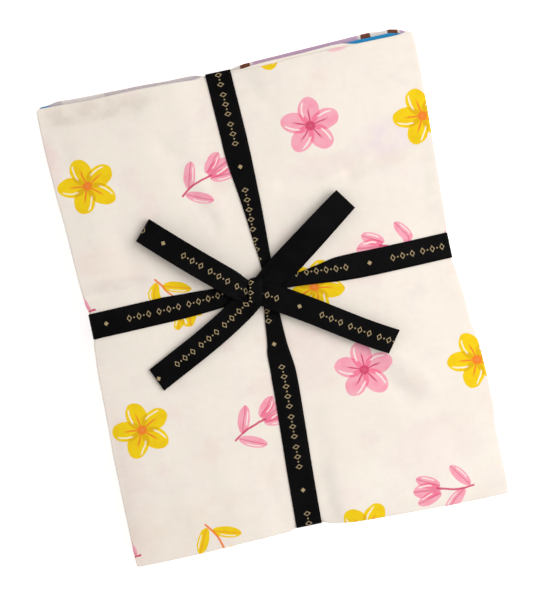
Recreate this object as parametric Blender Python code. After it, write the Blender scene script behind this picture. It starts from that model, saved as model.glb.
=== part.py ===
# A bundle of folded fat quarters, tied both ways with a ribbon and a bow.
# Sizes are in millimetres until piece() makes them metres. +X runs across the bundle, +Y along it, +Z up.

import math

import bmesh
import bpy
import numpy as np

MM = 0.001

# The cloth: every quarter is folded to four layers
LAYERS = 4
CLOTH = 1.0  # thickness of a layer
AIR = 0.35  # space between layers, and between quarters
LAYER_PITCH = CLOTH + AIR
QUARTER_PITCH = LAYERS * LAYER_PITCH
BEND_STEPS = 4  # flats round the bend of a fold

# Each quarter from the lowest up. left, right, near and far are where its edges cross the bundle's middle
# lines, lean is how its long sides slope, near_rise and far_rise how its ends slope, and first the side of
# its lowest fold.
QUARTER_COLUMNS = "left right near far lean near_rise far_rise first".split()
QUARTERS = [
    (-114.6, 115.4, -139.6, 141.0, 0.004, 0.003, -0.004, 1),
    (-115.8, 114.2, -140.8, 140.2, -0.006, -0.004, 0.005, -1),
    (-114.0, 115.8, -139.0, 141.8, 0.003, 0.006, 0.002, 1),
    (-115.4, 114.6, -140.2, 141.2, -0.003, 0.002, -0.006, -1),
    (-115.9, 114.8, -141.0, 142.4, 0.005, -0.005, 0.004, 1),
    (-114.8, 114.4, -139.4, 144.6, 0.004, 0.004, 0.012, -1),
    (-114.4, 115.9, -139.2, 141.4, -0.003, -0.006, 0.012, 1),
    (-115.2, 115.6, -139.9, 140.6, 0.006, -0.014, 0.001, -1),
]
STACK = len(QUARTERS) * QUARTER_PITCH - AIR
HALF_X = 114.3  # half of the folded size, 9 x 11 in
HALF_Y = 139.7
MIDDLE = (-0.10, 2.19)  # the bundle's middle, which becomes the origin
RAGGED = 0.6  # how far a layer's end strays from the next one's
RAGGED_WAVE = 1.9  # how fast that changes with height

# How the stack swells, slumps at its rim and gives way under the ribbon
PUFF = 1.2
SLUMP = 0.8
PRESS = 0.6  # under the ribbon in the middle
PRESS_RIM = 2.6  # more of it at the rim
PRESSED, RELEASED = 9.0, 30.0  # from the ribbon's middle line: fully pressed, and free of it
TIED_X = (-110.2, 110.4)  # where the ribbon draws the edges in to
TIED_Y = (-136.4, 140.5)
DRAWN_SIDES, DRAWN_ENDS = 75.0, 30.0  # how far from the ribbon's middle line it still draws them in
TIED_ROUND = 1.6  # rounding of the stack's corners under the ribbon
RIM_X, RIM_Y = 98.0, 122.0  # last line of points before the edges

# The ribbon
RIBBON = 15.5
RIBBON_THICK = 1.0
SEAT = 0.3  # space between pieces that touch
CROSS_Y, CROSS_LEAN = 8.9, 0.018  # the crosswise run's middle line, and its slope
CROSS_BOW, CROSS_BOW_AT, CROSS_BOW_REACH = 4.2, 5.0, 32.0  # drawn up towards the knot
LONG_X, LONG_LEAN = -4.2, 0.009  # the lengthwise run's middle line, and its slope away from the crossing
LONG_STEP, LONG_TURN = 1.0, 10.0  # its two legs are pulled apart at the knot
RISE = RIBBON_THICK + SEAT  # what one run takes up beneath another
CORNER_STEPS = 3

# How much of the ribbon's width is folded under near the knot, by place along each run
TUCK_LONG = [(-45, 0.0), (-20, 3.0), (-8, 5.5), (8, 8.0), (21, 8.5), (37, 6.6), (66, 3.0), (90, 0.0)]
TUCK_CROSS = [
    (-66, 0.0), (-40, 2.0), (-20, 5.5), (0, 8.2), (10, 8.4), (17, 7.5), (31, 3.9), (43, 0.8), (56, 0.0),
]

# The knot: a strap over the bow's middle, turned to the photograph's slant
KNOT = (-11.7, 9.0)
KNOT_TURN = math.radians(-11.9)
KNOT_WIDE, KNOT_LONG, KNOT_HIGH = 7.4, 9.8, 3.3  # half sizes
KNOT_RINGS, KNOT_SIDES = 7, 18
KNOT_FOOT = 2 * RISE + SEAT  # above the cloth
KNOT_SQUARE = 2.6  # power of its superellipse
KNOT_PINCH = 0.12  # how much its ends draw in

# The bow's strips. face is the knot's face that a strip leaves by, as steps along its axes, and slide how
# far the root lies along that face. tip is the middle of the strip's end, and bend how far its middle line
# bows to its own left. Heights are above the cloth, at even steps from the knot to the tip. A loop's lower
# leaf bows by splay more than its upper one.
LEFT, RIGHT, NEAR = (-1, 0), (1, 0), (0, -1)
ROOT_HALF = 5.6  # half of a strip's gathered width at its root
FULL_AT = 0.22  # share of its length by which a strip has its full width
STRIP_STEPS = 8
LOOP_TURN_STEPS = 6
LOOP_COLUMNS = "face slide tip bend splay under over".split()
LOOPS = {
    "bow_loop_left": (
        LEFT, 2.6, (-67.6, 57.3), -0.6, 2.4, (4.6, 4.2, 3.4, 2.6, 2.4), (6.6, 8.4, 9.0, 8.2, 7.2),
    ),
    "bow_loop_right": (
        RIGHT, 3.0, (55.0, 50.6), 0.4, -1.2, (3.9, 4.1, 3.6, 2.8, 2.4), (5.4, 6.0, 8.0, 8.0, 7.2),
    ),
}
TAIL_COLUMNS = "face slide tip bend heights".split()
TAILS = {
    "ribbon_tail_left": (NEAR, -2.2, (-77.8, -32.6), -0.6, (5.6, 4.9, 4.2, 3.2, 2.2)),
    "ribbon_tail_right": (RIGHT, -2.5, (66.3, -38.4), -0.4, (7.1, 7.3, 6.9, 6.3, 5.2)),
}

QUARTER_COLOURS = [
    (0.16, 0.42, 0.40),
    (0.93, 0.55, 0.16),
    (0.80, 0.24, 0.36),
    (0.90, 0.78, 0.20),
    (0.93, 0.50, 0.60),
    (0.72, 0.66, 0.82),
    (0.10, 0.52, 0.80),
    (0.93, 0.89, 0.83),
]
RIBBON_COLOUR = (0.012, 0.012, 0.014)
CLOTH_ROUGHNESS, RIBBON_ROUGHNESS = 0.9, 0.5


def bell(distance, released=RELEASED):
    """1 under the ribbon, falling smoothly to 0 where the cloth is free of it."""
    t = np.clip((np.abs(distance) - PRESSED) / (released - PRESSED), 0, 1)
    return 1 - t * t * (3 - 2 * t)


def long_line(y):
    """x of the lengthwise run's middle."""
    beyond = y - CROSS_Y
    return LONG_X + LONG_STEP * np.tanh(beyond / LONG_TURN) - LONG_LEAN * np.abs(beyond)


def cross_line(x):
    """y of the crosswise run's middle."""
    return CROSS_Y + CROSS_LEAN * x + CROSS_BOW * np.exp(-(((x - CROSS_BOW_AT) / CROSS_BOW_REACH) ** 2))


def underside(x, y):
    """Height of the stack's lower face: flat, with a shallow way for each ribbon."""
    return RISE * (bell(x - long_line(y)) + bell(y - cross_line(x)))


def topside(x, y):
    """Height of the stack's upper face: slightly swollen, pressed by the ribbons and slumped at its rim."""
    ex, ey = np.abs(x) / HALF_X, np.abs(y) / HALF_Y
    swell = PUFF * (1 - ex**2) * (1 - ey**2) - SLUMP * (ex**8 + ey**8)
    press_long = bell(x - long_line(y)) * (PRESS + PRESS_RIM * ey**4)
    press_cross = bell(y - cross_line(x)) * (PRESS + PRESS_RIM * ex**4)
    return STACK + swell - press_long - press_cross


def lifted(x, y, h):
    """Real height of what would lie at height h if the stack's faces were flat."""
    low = underside(x, y)
    return low + h / STACK * (topside(x, y) - low)


def face_depth(low, high):
    """How deep a layer lies under the nearer face of the stack."""
    return max(0.0, min(low, STACK - high))


def corner_inset(depth):
    """How far the rounded corner of the tied stack lies inside its side."""
    above = np.clip(TIED_ROUND - depth, 0, TIED_ROUND)
    return TIED_ROUND - np.sqrt(TIED_ROUND**2 - above**2)


def side_edge(quarter, side, y, depth):
    """x of a long side: the quarter's own edge, drawn in where the crosswise run holds it."""
    own = quarter["left" if side < 0 else "right"] - quarter["lean"] * y
    tied = TIED_X[(side + 1) // 2] - side * corner_inset(depth)
    return own + (tied - own) * bell(y - cross_line(side * HALF_X), DRAWN_SIDES)


def end_edge(quarter, side, x, h, depth):
    """y of an end, drawn in where the lengthwise run holds it. The layers' ends are a little uneven."""
    end = "near" if side < 0 else "far"
    own = quarter[end] + quarter[end + "_rise"] * x + RAGGED * np.sin(RAGGED_WAVE * h + side)
    tied = TIED_Y[(side + 1) // 2] - side * corner_inset(depth)
    return own + (tied - own) * bell(x - long_line(side * HALF_Y), DRAWN_ENDS)


def shared_lines(middle, rim):
    """Places that every layer's points share across one direction, all but its two edges."""
    pressed = [middle - RELEASED, middle - PRESSED, middle + PRESSED, middle + RELEASED]
    return [middle * 0 - rim, *pressed, middle * 0 + rim]


def fold_section(quarter, base, row):
    """One row's back-and-forth section. Each point has its x, its height, the way its thickness faces in x
    and in height, and its depth."""
    reach = (LAYER_PITCH + CLOTH) / 2
    radius = LAYER_PITCH / 2
    lines = [shared_lines(cross_line(x), RIM_Y) for x in (-HALF_X, 0, HALF_X)]
    ys = [[quarter["near"], *line, quarter["far"]][row] for line in lines]
    points = []
    for layer in range(LAYERS):
        way = quarter["first"] * (-1) ** layer
        middle = base + CLOTH / 2 + layer * LAYER_PITCH
        own_depth = face_depth(middle - CLOTH / 2, middle + CLOTH / 2)
        ends = []
        for side, y in ((-1, ys[0]), (1, ys[2])):
            joins = layer + side * way
            if 0 <= joins < LAYERS:
                centre = middle + (joins - layer) * radius
                depth = face_depth(centre - reach, centre + reach)
                ends.append(side_edge(quarter, side, y, depth) - side * reach)
            else:
                ends.append(side_edge(quarter, side, y, own_depth))
        run = [ends[0], *shared_lines(long_line(ys[1]), RIM_X), ends[1]][::way]
        points += [(x, middle, 0.0, way, own_depth) for x in run]
        for step in range(1, BEND_STEPS if layer < LAYERS - 1 else 0):
            angle = math.pi * (step / BEND_STEPS - 0.5)
            x = run[-1] + way * radius * math.cos(angle)
            h = middle + radius * (1 + math.sin(angle))
            points.append((x, h, -math.cos(angle), -way * math.sin(angle), own_depth))
    return np.array(points).T


def quarter_points(quarter, base):
    """Points of a folded quarter, by face of its cloth, then row, then place along the section."""
    rows = len(shared_lines(0.0, RIM_Y)) + 2
    grid = []
    for face in (-CLOTH / 2, CLOTH / 2):
        for row in range(rows):
            x, h, face_x, face_h, depth = fold_section(quarter, base, row)
            if row == 0:
                y = end_edge(quarter, -1, x, h, depth)
            elif row == rows - 1:
                y = end_edge(quarter, 1, x, h, depth)
            else:
                y = shared_lines(cross_line(x), RIM_Y)[row - 1]
            x, h = x + face * face_x, h + face * face_h
            grid.append(np.stack([x, y, lifted(x, y, h)], 1))
    return np.array(grid).reshape(2, rows, -1, 3)


def sheet_faces(rows, along):
    """Quads of a closed sheet whose points run by face of the cloth, then row, then place on the section."""
    def at(face, row, p):
        return (face * rows + row) * along + p

    faces = []
    for row in range(rows - 1):
        for p in range(along - 1):
            for face in (0, 1):
                corners = ((row, p), (row, p + 1), (row + 1, p + 1), (row + 1, p))
                faces.append([at(face, *corner) for corner in corners])
        for p in (0, along - 1):
            faces.append([at(0, row, p), at(1, row, p), at(1, row + 1, p), at(0, row + 1, p)])
    for row in (0, rows - 1):
        for p in range(along - 1):
            faces.append([at(0, row, p), at(0, row, p + 1), at(1, row, p + 1), at(1, row, p)])
    return faces


def loft_faces(rings, sides, closed=False):
    """Quads between rings of points, with a cap on each end unless the rings close on themselves."""
    faces = []
    for ring in range(rings if closed else rings - 1):
        here, there = ring * sides, (ring + 1) % rings * sides
        for p in range(sides):
            after = (p + 1) % sides
            faces.append([here + p, here + after, there + after, there + p])
    if not closed:
        faces += [list(range(sides)), list(range((rings - 1) * sides, rings * sides))]
    return faces


def piece(name, points, faces, colour, roughness):
    """A closed mesh object in metres, with its own material."""
    place = (np.asarray(points).reshape(-1, 3) - (*MIDDLE, 0.0)) * MM
    mesh = bpy.data.meshes.new(name)
    mesh.from_pydata(place.tolist(), [], faces)
    solid = bmesh.new()
    solid.from_mesh(mesh)
    bmesh.ops.recalc_face_normals(solid, faces=solid.faces)
    solid.to_mesh(mesh)
    solid.free()
    material = bpy.data.materials.new(name)
    material.use_nodes = True
    shader = material.node_tree.nodes["Principled BSDF"]
    shader.inputs["Base Color"].default_value = (*colour, 1)
    shader.inputs["Roughness"].default_value = roughness
    mesh.materials.append(material)
    bpy.context.scene.collection.objects.link(bpy.data.objects.new(name, mesh))


def ribbon_piece(name, rings, closed=False):
    faces = loft_faces(len(rings), len(rings[0]), closed)
    piece(name, rings, faces, RIBBON_COLOUR, RIBBON_ROUGHNESS)


def add_quarters():
    for number, values in enumerate(QUARTERS):
        quarter = dict(zip(QUARTER_COLUMNS, values))
        points = quarter_points(quarter, number * QUARTER_PITCH)
        faces = sheet_faces(*points.shape[1:3])
        piece(f"fat_quarter_{number + 1}", points, faces, QUARTER_COLOURS[number], CLOTH_ROUGHNESS)


def wrap_path(spot, tied, stations, top, bottom):
    """The middle line of a run round the stack: places along it, and heights. spot gives a place's x, y."""
    off = SEAT + RIBBON_THICK / 2

    def corner(side, upward, start, end):
        line = []
        for angle in np.linspace(start, end, CORNER_STEPS + 1):
            out, up = math.sin(angle), upward * math.cos(angle)
            centre = tied[(side + 1) // 2] - side * TIED_ROUND
            level = STACK - TIED_ROUND if upward > 0 else TIED_ROUND
            on_cloth = lifted(*spot(centre + side * TIED_ROUND * out), level + TIED_ROUND * up)
            line.append((centre + side * (TIED_ROUND + off) * out, on_cloth + off * up))
        return line

    quarter_turn = math.pi / 2
    path = [(s, top(*spot(s))) for s in stations]
    path += corner(1, 1, 0, quarter_turn)[1:]
    path += corner(1, -1, quarter_turn, 0)[:-1]
    path += [(s, bottom(*spot(s))) for s in stations[::-1]]
    path += corner(-1, -1, 0, quarter_turn)[1:]
    path += corner(-1, 1, quarter_turn, 0)[:-1]
    return np.array(path)


def wrap_rings(path, low_side, high_side, place):
    """Rectangles across a closed middle line, between its two selvedges."""
    tangent = np.roll(path, -1, 0) - np.roll(path, 1, 0)
    tangent /= np.linalg.norm(tangent, axis=1)[:, None]
    normal = np.stack([-tangent[:, 1], tangent[:, 0]], 1) * RIBBON_THICK / 2
    low, high = path - normal, path + normal
    corners = [(low, low_side), (low, high_side), (high, high_side), (high, low_side)]
    return np.stack([place(line[:, 0], side, line[:, 1]) for line, side in corners], 1)


def tucked(path, table):
    """How much width is folded under at each point of a path, on the upper face of the stack only."""
    at, amount = np.array(table).T
    return np.where(path[:, 1] > STACK / 2, np.interp(path[:, 0], at, amount), 0)


def add_wraps():
    half = RIBBON / 2
    off = SEAT + RIBBON_THICK / 2

    stations = [TIED_Y[0] + TIED_ROUND, *shared_lines(CROSS_Y, RIM_Y), TIED_Y[1] - TIED_ROUND]
    stations = sorted(stations + [TUCK_LONG[0][0], TUCK_LONG[-2][0], TUCK_LONG[-1][0]])
    path = wrap_path(
        lambda s: (long_line(s), s), TIED_Y, stations,
        lambda x, y: topside(x, y) + off,
        lambda x, y: RIBBON_THICK / 2,
    )
    ribbon_piece("ribbon_lengthwise", wrap_rings(
        path, tucked(path, TUCK_LONG) - half, half,
        lambda s, side, z: np.stack([long_line(s) + side, s, z], 1),
    ), closed=True)

    stations = [TIED_X[0] + TIED_ROUND, *shared_lines(LONG_X, RIM_X), TIED_X[1] - TIED_ROUND]
    stations = sorted(stations + [TUCK_CROSS[0][0], TUCK_CROSS[-1][0]])
    path = wrap_path(
        lambda s: (s, cross_line(s)), TIED_X, stations,
        lambda x, y: topside(x, y) + off + RISE * bell(x - long_line(y)),
        lambda x, y: underside(x, y) - off,
    )
    ribbon_piece("ribbon_crosswise", wrap_rings(
        path, -half, half - tucked(path, TUCK_CROSS),
        lambda s, side, z: np.stack([s, cross_line(s) + side, z], 1),
    ), closed=True)


def knot_axes():
    """The bow's axis, out of the knot's right face, and the strap's own direction."""
    c, s = math.cos(KNOT_TURN), math.sin(KNOT_TURN)
    return np.array([c, s]), np.array([-s, c])


def add_knot():
    across, along = knot_axes()
    middle = topside(*KNOT) + KNOT_FOOT + KNOT_HIGH
    turns = np.linspace(0, 2 * math.pi, KNOT_SIDES, endpoint=False)
    power = 2 / KNOT_SQUARE
    out = np.sign(np.cos(turns)) * np.abs(np.cos(turns)) ** power
    up = np.sign(np.sin(turns)) * np.abs(np.sin(turns)) ** power
    rings = []
    for v in np.linspace(-1, 1, KNOT_RINGS):
        size = 1 - KNOT_PINCH * v**4
        flat = np.array(KNOT) + across * v * KNOT_WIDE + along * (out * size * KNOT_LONG)[:, None]
        rings.append(np.column_stack([flat, middle + up * size * KNOT_HIGH]))
    ribbon_piece("ribbon_knot", rings)


def strip_line(face, slide, tip, bend):
    """A strip's middle line in plan, by share of the way from the knot to its tip, and its direction."""
    across, along = knot_axes()
    out = across * face[0] * (KNOT_WIDE + SEAT) + along * face[1] * (KNOT_LONG + SEAT)
    root = np.array(KNOT) + out + root_edge(face) * slide
    reach = np.array(tip) - root
    way = reach / np.linalg.norm(reach)
    left = np.array([-way[1], way[0]])
    return lambda t: root + reach * t + left * bend * 4 * t * (1 - t), way


def root_edge(face):
    """The way a strip's width lies at its root, flat against the knot's face."""
    across, along = knot_axes()
    return along if face[0] else across


def strip_rings(centres, shares, way, face):
    """Rectangles along a strip's middle line. It leaves the knot gathered and square to the knot's face."""
    edge = root_edge(face)
    square = np.array([-way[1], way[0]])
    square *= np.sign(square @ edge)
    centres = np.array(centres)
    tangent = np.gradient(centres, axis=0)
    rings = []
    for centre, heading, t in zip(centres, tangent, shares):
        open_share = min(t / FULL_AT, 1)
        flat = edge + (square - edge) * open_share
        across = np.array([*(flat / np.linalg.norm(flat)), 0])
        normal = np.cross(heading, across)
        normal *= RIBBON_THICK / 2 / np.linalg.norm(normal)
        half = (ROOT_HALF + (RIBBON / 2 - ROOT_HALF) * open_share) * across
        low, high = centre - normal, centre + normal
        rings.append([low - half, low + half, high + half, high - half])
    return np.array(rings)


def strip_centres(line, heights, shares, end):
    """Points of a strip's middle line, at heights above the cloth."""
    at = [line(t) * np.ones(2) for t in shares]
    level = np.interp(np.array(shares) / end, np.linspace(0, 1, len(heights)), heights)
    return [(*p, topside(*p) + h) for p, h in zip(at, level)]


def add_bow():
    for name, values in TAILS.items():
        tail = dict(zip(TAIL_COLUMNS, values))
        line, way = strip_line(tail["face"], tail["slide"], tail["tip"], tail["bend"])
        shares = np.linspace(0, 1, STRIP_STEPS + 1)
        centres = strip_centres(line, tail["heights"], shares, 1)
        ribbon_piece(name, strip_rings(centres, shares, way, tail["face"]))

    for name, values in LOOPS.items():
        loop = dict(zip(LOOP_COLUMNS, values))
        lower, way = strip_line(loop["face"], loop["slide"], loop["tip"], loop["bend"] + loop["splay"])
        upper, way = strip_line(loop["face"], loop["slide"], loop["tip"], loop["bend"])
        radius = (loop["over"][-1] - loop["under"][-1]) / 2
        length = np.linalg.norm(lower(1.0) - lower(0.0))
        end = 1 - (radius + RIBBON_THICK / 2) / length
        shares = np.linspace(0, end, STRIP_STEPS)
        under = strip_centres(lower, loop["under"], shares, end)
        over = strip_centres(upper, loop["over"], shares, end)
        tip = np.array(under[-1]) + (0, 0, radius)
        turn = []
        for angle in np.linspace(-math.pi / 2, math.pi / 2, LOOP_TURN_STEPS + 1)[1:-1]:
            turn.append(tip + radius * np.array([*(way * math.cos(angle)), math.sin(angle)]))
        centres = [*under, *turn, *over[::-1]]
        shares = [*shares, *[end] * len(turn), *shares[::-1]]
        ribbon_piece(name, strip_rings(centres, shares, way, loop["face"]))


def main():
    for old in list(bpy.data.objects):
        bpy.data.objects.remove(old)
    add_quarters()
    add_wraps()
    add_knot()
    add_bow()


main()
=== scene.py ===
import bpy
import numpy as np
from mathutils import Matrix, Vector


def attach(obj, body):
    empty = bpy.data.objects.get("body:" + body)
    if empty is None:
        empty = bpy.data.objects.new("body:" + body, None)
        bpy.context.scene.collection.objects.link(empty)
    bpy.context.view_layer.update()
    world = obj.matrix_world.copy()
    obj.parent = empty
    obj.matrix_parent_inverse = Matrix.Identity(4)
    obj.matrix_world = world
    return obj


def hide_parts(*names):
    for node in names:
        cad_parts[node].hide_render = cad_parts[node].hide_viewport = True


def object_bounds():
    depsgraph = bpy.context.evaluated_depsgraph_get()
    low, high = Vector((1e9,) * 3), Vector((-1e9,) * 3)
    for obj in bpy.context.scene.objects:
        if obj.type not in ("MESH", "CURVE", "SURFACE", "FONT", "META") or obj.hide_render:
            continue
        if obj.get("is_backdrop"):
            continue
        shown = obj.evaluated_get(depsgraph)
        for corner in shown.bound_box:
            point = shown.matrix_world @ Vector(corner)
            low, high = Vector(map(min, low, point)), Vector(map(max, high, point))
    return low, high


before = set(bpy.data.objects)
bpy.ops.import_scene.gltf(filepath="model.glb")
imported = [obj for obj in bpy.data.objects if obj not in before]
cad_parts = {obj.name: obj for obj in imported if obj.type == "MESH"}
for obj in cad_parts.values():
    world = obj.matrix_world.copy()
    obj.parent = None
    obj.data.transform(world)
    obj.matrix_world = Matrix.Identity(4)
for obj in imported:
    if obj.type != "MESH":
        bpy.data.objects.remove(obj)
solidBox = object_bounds()

# camera
photo = {"width": 533, "height": 589}
shot = {"aim": (-2.96, 2.20), "across": 319.8, "level": 43, "distance": 1500, "turn": -11.9}


def addObject(name, data):
    made = bpy.data.objects.new(name, data)
    bpy.context.scene.collection.objects.link(made)
    return made


def addCamera():
    # Over the aim, in the solids' frame. The lens sees "across" of width at the top cloth's level.
    data = bpy.data.cameras.new("photoCamera")
    data.lens = data.sensor_width * shot["distance"] / (shot["across"] * photo["height"] / photo["width"])
    data.clip_start, data.clip_end = 0.01, 50
    camera = addObject("photoCamera", data)
    camera.location = (*[v / 1000 for v in shot["aim"]], (shot["level"] + shot["distance"]) / 1000)
    camera.rotation_euler = (0, 0, np.radians(shot["turn"]))
    bpy.context.scene.camera = camera
    print("camera: straight above, turned", shot["turn"], "degrees")


addCamera()


def smoothRun(t, values):
    # A Catmull-Rom curve through values at even steps of t from 0 to 1, with straight ends
    values = np.asarray(values, float)
    padded = np.concatenate([[2 * values[0] - values[1]], values, [2 * values[-1] - values[-2]]])
    place = np.clip(np.asarray(t, float), 0, 1) * (len(values) - 1)
    k = np.minimum(place.astype(int), len(values) - 2)
    f = place - k
    a, b, c, d = (padded[k + i] for i in range(4))
    return 0.5 * (2 * b + (c - a) * f + (2 * a - 5 * b + 4 * c - d) * f**2 + (3 * b - a - 3 * c + d) * f**3)


def smoothTable(x, table):
    # A smooth curve through a table of places and values. Its slope at one is the harmonic mean of the slopes on both
    # sides, or 0 where they differ in sign.
    at, value = np.array(table, float).T
    k = np.clip(np.searchsorted(at, x) - 1, 0, len(at) - 2)
    f = np.clip((x - at[k]) / (at[k + 1] - at[k]), 0, 1)
    steps = np.diff(value) / np.diff(at)
    before, after = steps[:-1], steps[1:]
    alike = before * after > 0
    inner = np.where(alike, 2 * before * after / np.where(alike, before + after, 1), 0)
    slope = np.concatenate([steps[:1], inner, steps[-1:]])
    span = at[k + 1] - at[k]
    return (
        value[k] * (1 + 2 * f) * (1 - f) ** 2 + value[k + 1] * f**2 * (3 - 2 * f)
        + span * (slope[k] * f * (1 - f) ** 2 - slope[k + 1] * f**2 * (1 - f))
    )


# the stack's form, as in the solids
stack = {
    "origin": (-0.10, 2.19), "layers": 4, "layerPitch": 1.35, "quarterPitch": 5.4, "height": 42.85,
    "halfX": 114.3, "halfY": 139.7, "bend": 0.675, "bendReach": 1.175,
    "tiedX": {-1: -109.9, 1: 110.4}, "tiedY": {-1: -136.4, 1: 141.0}, "tiedRound": 1.6,
    "drawnSides": (75, 9), "drawnEnds": (30, 9), "drawnTop": (11.5, 7.6),
}
longBow = [  # y, and x of the lengthwise run's middle there
    (-150, -6.9), (-136, -6.5), (-104, -5.3), (-77, -4.0), (-44, -2.8), (-26, -4.4), (-8, -4.95), (4, -4.6),
    (16, -3.7), (31, -3.2), (65, -2.4), (96, -2.7), (120, -3.5), (140, -4.2), (155, -4.6),
]
crossRun = {"y": 8.9, "lean": 0.018, "bow": 4.2, "bowAt": 5, "bowReach": 32}
press = {"puff": 1.2, "slump": 0.8, "middle": 0.6, "rim": 2.6, "full": 9, "free": 30, "rise": 1.3}


def eased(t):  # the smoothstep of t, 0 up to 0 and 1 from 1 on
    t = np.clip(t, 0, 1)
    return t * t * (3 - 2 * t)


def bell(distance, free=press["free"], full=press["full"]):  # 1 up to the distance full, eased down to 0 at free
    return 1 - eased((np.abs(distance) - full) / (free - full))


def longLine(y):  # x of the lengthwise run's middle: its two legs bow a little, and step aside at the knot
    return smoothTable(y, longBow)


def crossLine(x):  # y of the crosswise run's middle: a slanting line, drawn up by a bell near the knot
    bow = crossRun["bow"] * np.exp(-(((x - crossRun["bowAt"]) / crossRun["bowReach"]) ** 2))
    return crossRun["y"] + crossRun["lean"] * x + bow


def underside(x, y):  # the run beneath lifts the cloth by what it takes up, in a bell about its middle
    return press["rise"] * (bell(x - longLine(y)) + bell(y - crossLine(x)))


def topside(x, y):  # swollen in the middle, pressed under the ribbons, slumped at the rim
    ex, ey = np.abs(x) / stack["halfX"], np.abs(y) / stack["halfY"]
    swell = press["puff"] * (1 - ex**2) * (1 - ey**2) - press["slump"] * (ex**8 + ey**8)
    alongPress = bell(x - longLine(y)) * (press["middle"] + press["rim"] * ey**4)
    crossPress = bell(y - crossLine(x)) * (press["middle"] + press["rim"] * ex**4)
    return stack["height"] + swell - alongPress - crossPress


def lifted(x, y, h):  # real height of what would lie at height h in a flat stack
    low = underside(x, y)
    return low + h / stack["height"] * (topside(x, y) - low)


def cornerInset(depth):  # how far a tied corner draws in at a depth from the stack's face: a quarter circle
    above = np.clip(stack["tiedRound"] - depth, 0, stack["tiedRound"])
    return stack["tiedRound"] - np.sqrt(stack["tiedRound"] ** 2 - above**2)


def runAlong(points):  # distance along a grid's first axis, at its middle column
    middle = points[:, points.shape[1] // 2]
    return np.concatenate([[0], np.cumsum(np.linalg.norm(np.diff(middle, axis=0), axis=1))])


# meshes
def closedSheet(points, run, across, thick, backShift=0.0):
    # A sheet about a grid of points: the grid moved half the thickness along its normals both ways, and joined round
    # its rim. run and across are places on the flat cloth, and backShift moves the back's pattern off it.
    normal = np.cross(np.gradient(points, axis=0), np.gradient(points, axis=1))
    normal /= np.maximum(np.linalg.norm(normal, axis=2, keepdims=True), 1e-9)
    half = normal * thick / 2
    count = points.shape[0] * points.shape[1]
    low = np.arange(count).reshape(points.shape[:2])
    high = low + count

    def quads(*corners):
        return np.stack([c.ravel() for c in corners], 1)

    upper = quads(high[:-1, :-1], high[1:, :-1], high[1:, 1:], high[:-1, 1:])
    lower = quads(low[:-1, :-1], low[:-1, 1:], low[1:, 1:], low[1:, :-1])
    around = np.concatenate([low[:-1, 0], low[-1, :-1], low[:0:-1, -1], low[0, :0:-1]])
    onward = np.roll(around, -1)
    faces = np.concatenate([upper, lower, quads(around, onward, onward + count, around + count)])
    flat = np.stack(np.broadcast_arrays(run[:, None], across), 2)
    both, flats = np.stack([points - half, points + half]), np.stack([flat + (0, backShift), flat])
    return both, faces, flats / 1000, np.arange(2 * len(upper), len(faces))


def addSheet(name, node, material, grids, backShift=0.0):
    # A mesh at the origin from its grid of points, their places on the flat cloth and its thickness, all in mm.
    both, faces, flats, rims = closedSheet(*grids, backShift)
    mesh = bpy.data.meshes.new(name)
    mesh.from_pydata(((both.reshape(-1, 3) - (*stack["origin"], 0)) / 1000).tolist(), [], faces.tolist())
    mesh.uv_layers.new(name="flat").data.foreach_set("uv", flats.reshape(-1, 2)[faces.ravel()].ravel())
    smooth = np.ones(len(faces), bool)
    smooth[rims] = False
    mesh.polygons.foreach_set("use_smooth", smooth)
    mesh.materials.append(material)
    mesh.validate()
    piece = addObject(name, mesh)
    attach(piece, "root")
    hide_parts(node)


# shader maths
class Term:
    # A socket of a finish. Maths on it adds Math nodes.
    def __init__(self, finish, socket):
        self.finish, self.socket = finish, socket

    def math(self, operation, *inputs):
        return self.finish.node("Math", {"operation": operation}, dict(enumerate(inputs)))

    def __rsub__(self, other):
        return self.math("SUBTRACT", other, self)

    def wrap(self, low, high):
        return self.math("WRAP", self, high, low)

    def fade(self, start, end):  # 0 at start, 1 at end, smooth between
        return self.finish.node(
            "MapRange", {"interpolation_type": "SMOOTHSTEP"},
            {"Value": self, "From Min": start, "From Max": end},
        )


# The other operators and functions, each with its Math node's operation
operations = {
    "__add__": "ADD", "__radd__": "ADD", "__sub__": "SUBTRACT", "__mul__": "MULTIPLY", "__rmul__": "MULTIPLY",
    "__truediv__": "DIVIDE", "__lt__": "LESS_THAN", "__gt__": "GREATER_THAN", "__abs__": "ABSOLUTE",
    "max": "MAXIMUM", "min": "MINIMUM", "sin": "SINE",
}
for method, operation in operations.items():
    setattr(Term, method, lambda self, *other, operation=operation: self.math(operation, self, *other))


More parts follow.
